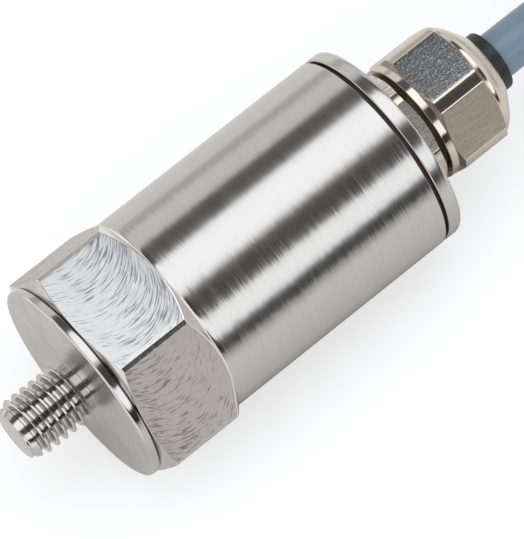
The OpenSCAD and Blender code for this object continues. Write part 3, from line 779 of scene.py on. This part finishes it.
def seal_line(angle, limit):
    seal_r = OPENING_R - SEAL_GAP
    back_r = POCKET_R - SEAL_GAP
    return rounded([
        (POCKET_START, CABLE_BORE_R, 0), (POCKET_START, back_r, 0), (NUT_BORE_END, back_r, 0),
        (NUT_END - LIP_LEN, seal_r, 0), (EXIT_X, seal_r, SEAL_ROUND), (EXIT_X, CABLE_BORE_R, EDGE_ROUND),
    ])


def make_seal(rubber):
    columns = round_columns(SEAL_COLUMNS)
    piece = revolve("gland_seal.moulded", columns, seal_line, lambda *_: 0, [rubber], True)
    finish_piece(piece, "seal_rubber", "gland_seal")


# The cable

def near_fold(radius_from, radius_to, z_from, z_to):
    """The fold at the hank's near end, where the cable changes column and layer."""
    radius = (radius_from + radius_to) / 2
    middle = HANK_Y + (radius_from - radius_to) / 2
    points = []
    for step in range(1, FOLD_POINTS + 1):
        turn = math.pi * step / FOLD_POINTS
        z = z_from + (z_to - z_from) * smooth(step / FOLD_POINTS / RISE_SHARE)
        points.append((HANK_X0 - radius * math.sin(turn), middle + radius * math.cos(turn), z))
    return points


def far_fold(radius, z):
    """The fold at the hank's far end, within one layer."""
    points = []
    for step in range(FOLD_POINTS + 1):
        turn = math.pi * step / FOLD_POINTS
        points.append((HANK_X1 + radius * math.sin(turn), HANK_Y - radius * math.cos(turn), z))
    return points


def run(x_from, x_to, y, z):
    """Points of a straight run, without its two ends."""
    return [(x_from + (x_to - x_from) * step / RUN_POINTS, y, z) for step in range(1, RUN_POINTS)]


def hank_route():
    """Eight turns in two columns and four layers, wound out and in, then the end laid on top."""
    columns = [HANK_OUTER_R, HANK_INNER_R, HANK_INNER_R, HANK_OUTER_R]
    turns = [(columns[number % 4], FIRST_LAYER_Z + CABLE_D * (number // 2)) for number in range(2 * LAYERS)]
    points = [(HANK_X0, HANK_Y - HANK_OUTER_R, FIRST_LAYER_Z)]
    for (radius, z), (next_radius, next_z) in zip(turns, turns[1:] + [(END_R, END_Z)]):
        points += run(HANK_X0, HANK_X1, HANK_Y - radius, z)
        points += far_fold(radius, z)
        points += run(HANK_X1, HANK_X0, HANK_Y + radius, z)
        points.append((HANK_X0, HANK_Y + radius, z))
        points += near_fold(radius, next_radius, z, next_z)
    points += run(HANK_X0, END_X, HANK_Y - END_R, END_Z)
    points.append((END_X, HANK_Y - END_R, END_Z))
    return points


def make_cable(jacket):
    """The cable, hidden from reflections because the real one runs on straight, out of the picture."""
    route = [(EXIT_X + x, y, z) for x, y, z in LEAD_STEPS] + hank_route()
    data = bpy.data.curves.new("cable", "CURVE")
    data.dimensions = "3D"
    data.bevel_depth = CABLE_D / 2 * MM
    data.bevel_resolution = 6
    data.resolution_u = 4
    data.use_fill_caps = True
    spline = data.splines.new("BEZIER")
    spline.bezier_points.add(len(route) - 1)
    for point, place in zip(spline.bezier_points, route):
        point.co = Vector(place) * MM
        point.handle_left_type = "AUTO"
        point.handle_right_type = "AUTO"
    data.materials.append(jacket)
    piece = bpy.data.objects.new("cable", data)
    piece.visible_glossy = False
    bpy.context.scene.collection.objects.link(piece)
    finish_piece(piece, "jacket", "cable_lead", "cable_hank", "cable_end")
    on_it = ["hank_ties", "end_sleeve", "lead_brown", "lead_white", "lead_shield", "lead_ferrules"]
    for name in on_it:
        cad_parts[name].visible_glossy = False


# Stage and light

FLOOR_Z = CAD_BOX[0][2]
STAGE_X = 0.15
CARD_DISTANCE = 0.6
CARD_LENGTH = 1.8


def seen_directly(tree):
    """1 for camera, glossy and transmission rays, and 0 for the light that falls on the object."""
    path = node(tree, "ShaderNodeLightPath").outputs
    seen = math_node(tree, "MAXIMUM", path["Is Camera Ray"], path["Is Glossy Ray"])
    return math_node(tree, "MAXIMUM", seen, path["Is Transmission Ray"])


AMBIENT = 0.75


def make_world():
    world = bpy.data.worlds.new("world")
    bpy.context.scene.world = world
    world.use_nodes = True
    tree = world.node_tree
    tree.nodes.clear()
    ambient = node(tree, "ShaderNodeBackground", {"Color": (1, 1, 1, 1), "Strength": AMBIENT})
    white = node(tree, "ShaderNodeBackground", {"Color": (1, 1, 1, 1), "Strength": 1.0})
    mixed = node(tree, "ShaderNodeMixShader", {0: seen_directly(tree), 1: ambient.outputs[0],
                                               2: white.outputs[0]})
    node(tree, "ShaderNodeOutputWorld", {"Surface": mixed.outputs[0]})


FLOOR_SIZE = 8
FLOOR_SHADE = (0.5, 0.5, 0.5)
FLOOR_GLOW = 0.56
MIRRORED_GLOW = 0.55
FACE_GLOW = 0.37
FRONT_GLOW = 0.55
SHADE_Y = -3 * MM
SHADE_REACH = 8 * MM
DIM_Y = (-190 * MM, -85 * MM)
FAR_SHARE = 0.2
FACE_X = (-6 * MM, 6 * MM)
GLAND_X = (58 * MM, 78 * MM)
FRONT_X = (-40 * MM, -12 * MM)
# The floor's warmer colour, seen only in reflections, is a painted reflection tint.
MIRRORED_SHADE = (0.5, 0.475, 0.445)


def mirrored_glow(tree):
    """The floor's glow as the metal mirrors it: a painted pool of light before the sensor, a painted shadow
    under it and painted shade far off.
    """
    split = node(tree, "ShaderNodeSeparateXYZ", {0: place_of(tree)}).outputs
    away = math_node(tree, "ABSOLUTE", math_node(tree, "SUBTRACT", split["Y"], SHADE_Y))
    near = math_node(tree, "DIVIDE", SHADE_REACH, math_node(tree, "MAXIMUM", away, SHADE_REACH))
    covered = math_node(tree, "MINIMUM", remap(tree, split["X"], *FACE_X, 0, 1),
                        remap(tree, split["X"], *GLAND_X, 1, 0))
    under = math_node(tree, "MULTIPLY", near, covered)
    plain = remap(tree, split["X"], *FACE_X, FACE_GLOW, MIRRORED_GLOW)
    front = remap(tree, split["X"], *FRONT_X, FRONT_GLOW, 0)
    shaded = math_node(tree, "MULTIPLY", plain, math_node(tree, "SUBTRACT", 1, under))
    far = remap(tree, split["Y"], *DIM_Y, FAR_SHARE, 1)
    return math_node(tree, "MULTIPLY", math_node(tree, "ADD", shaded, front), far)


def make_floor():
    bpy.ops.mesh.primitive_plane_add(size=FLOOR_SIZE, location=(0, 0, FLOOR_Z))
    floor = bpy.context.object
    floor.name = "floor"
    material = bpy.data.materials.new("floor")
    material.use_nodes = True
    tree = material.node_tree
    tree.nodes.clear()
    # In reflections the floor is warmer, and its glow paints light and shadow. Seen directly, it glows
    # evenly.
    mirrored = node(tree, "ShaderNodeLightPath").outputs["Is Glossy Ray"]
    tint = mix_color(tree, mirrored, FLOOR_SHADE, MIRRORED_SHADE)
    shade = node(tree, "ShaderNodeBsdfDiffuse", {"Color": tint})
    share = node(tree, "ShaderNodeMix", {0: mirrored, 2: FLOOR_GLOW, 3: mirrored_glow(tree)}).outputs[0]
    level = math_node(tree, "MULTIPLY", seen_directly(tree), share)
    glow = node(tree, "ShaderNodeEmission", {"Strength": level})
    both = node(tree, "ShaderNodeAddShader", {0: shade.outputs[0], 1: glow.outputs[0]})
    node(tree, "ShaderNodeOutputMaterial", {"Surface": both.outputs[0]})
    floor.data.materials.append(material)


def around_axis(angle, distance):
    """Placement of a panel, long along the axis, that faces the sensor from an angle about it."""
    turn = math.radians(angle)
    outward = Vector((0, math.cos(turn), math.sin(turn)))
    along = Vector((1, 0, 0))
    side = outward.cross(along)
    return Matrix.Translation(outward * distance + Vector((STAGE_X, 0, 0))) @ \
        Matrix((along, side, outward)).transposed().to_4x4()


def panel_width(half_angle):
    return 2 * CARD_DISTANCE * math.tan(math.radians(half_angle))


def make_softbox(name, angle, half_angle, level):
    """A long soft light. Its level is the brightness that its face shows, where 1 is white."""
    data = bpy.data.lights.new(name, "AREA")
    data.shape = "RECTANGLE"
    data.size = CARD_LENGTH
    data.size_y = panel_width(half_angle)
    data.energy = level * math.pi * data.size * data.size_y
    data.color = COOL
    light = bpy.data.objects.new(name, data)
    light.matrix_world = around_axis(angle, CARD_DISTANCE)
    light.visible_camera = False
    bpy.context.scene.collection.objects.link(light)


def make_card(name, angle, half_angle, level):
    """A dark card that only reflections show."""
    bpy.ops.mesh.primitive_plane_add(size=1)
    card = bpy.context.object
    card.name = name
    card.matrix_world = around_axis(angle, CARD_DISTANCE) @ \
        Matrix.Diagonal((CARD_LENGTH, panel_width(half_angle), 1, 1))
    material = bpy.data.materials.new(name)
    material.use_nodes = True
    tree = material.node_tree
    tree.nodes.clear()
    glow = node(tree, "ShaderNodeEmission", {"Color": (1, 1, 1, 1), "Strength": level})
    node(tree, "ShaderNodeOutputMaterial", {"Surface": glow.outputs[0]})
    card.data.materials.append(material)
    card.visible_camera = False
    card.visible_diffuse = False
    card.visible_shadow = False
    card.visible_transmission = False


# Lights and cards: angle about the axis, half of the angle that each spans, and its level
COOL = (0.92, 1.0, 1.12)
SOFTBOXES = {"softbox.top": (85.5, 19.5, 0.82), "softbox.front": (151.5, 13.5, 0.68)}
CARDS = {
    "card.horizon": (3, 10, 0.66), "card.back": (52.4, 12.6, 0.13),
    "card.middle": (122.9, 14.1, 0.09), "card.front": (177.5, 14.2, 0.04),
}


def make_lights():
    """A mirrored softbox shows its own level on top of the white behind it."""
    for name, place in SOFTBOXES.items():
        make_softbox(name, *place)
    for name, place in CARDS.items():
        make_card(name, *place)


# The whole

def main():
    bpy.context.scene.view_settings.view_transform = "Standard"
    materials = slot_materials()
    make_camera()
    make_cable(materials["jacket"])
    dress_nodes(materials)
    stained = plain_material("stainless.stained", *STAIN_COLORS, 0.6)
    # The rear cone's brighter steel is a painted highlight.
    make_housing(materials["stainless"], polished_steel("stainless.polished", STEEL, STEEL_DARK),
                 milled_steel("stainless.milled"), stained,
                 polished_steel("stainless.painted_highlight", STEEL_PAINTED_HIGHLIGHT, STEEL_PAINTED_HIGHLIGHT_DIM))
    make_cap(materials["stainless"], stained)
    flat, satin, drawn = [nickel_flat(name, *finish) for name, finish in PLATED.items()]
    # The neck's dark material is painted shade.
    neck = plain_material("nickel.neck_shade", *NECK_SHADE_COLORS, 0.5, 1.0)
    make_gland_body(materials["nickel"], drawn, neck)
    make_nut(materials["nickel"], flat, satin)
    make_seal(materials["seal_rubber"])
    make_world()
    make_floor()
    make_lights()


main()
